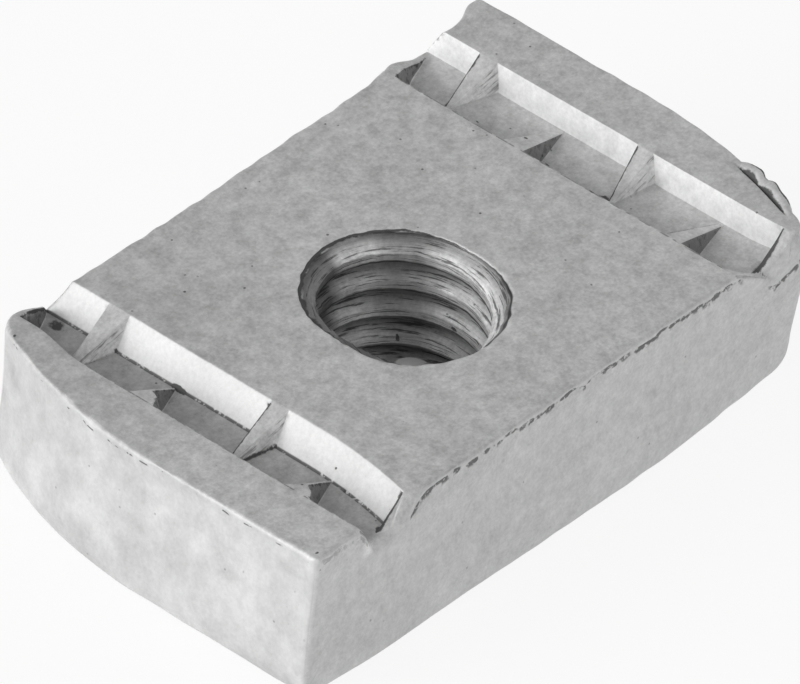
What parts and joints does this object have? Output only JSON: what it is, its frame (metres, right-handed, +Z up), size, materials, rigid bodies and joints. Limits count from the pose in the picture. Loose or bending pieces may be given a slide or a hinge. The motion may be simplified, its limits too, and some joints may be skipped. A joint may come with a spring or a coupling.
{
  "type": "channel nut",
  "caption": "Flat steel nut block for a strut channel, with toothed grooves for the channel lips, swing corners and a threaded hole.",
  "frame": {"origin": "middle of the bottom face's box, under the block", "axes": "+X along the nut, across both lip grooves; +Y across the nut, along the grooves; +Z up through the threaded hole, out of the toothed face"},
  "size_m": [0.0364, 0.022, 0.0082],
  "materials": {
    "steel": "dull zinc coat with fine mottling and a few specks"
  },
  "bodies": {
    "root": {"channel_nut": "steel"}
  },
  "joints": []
}
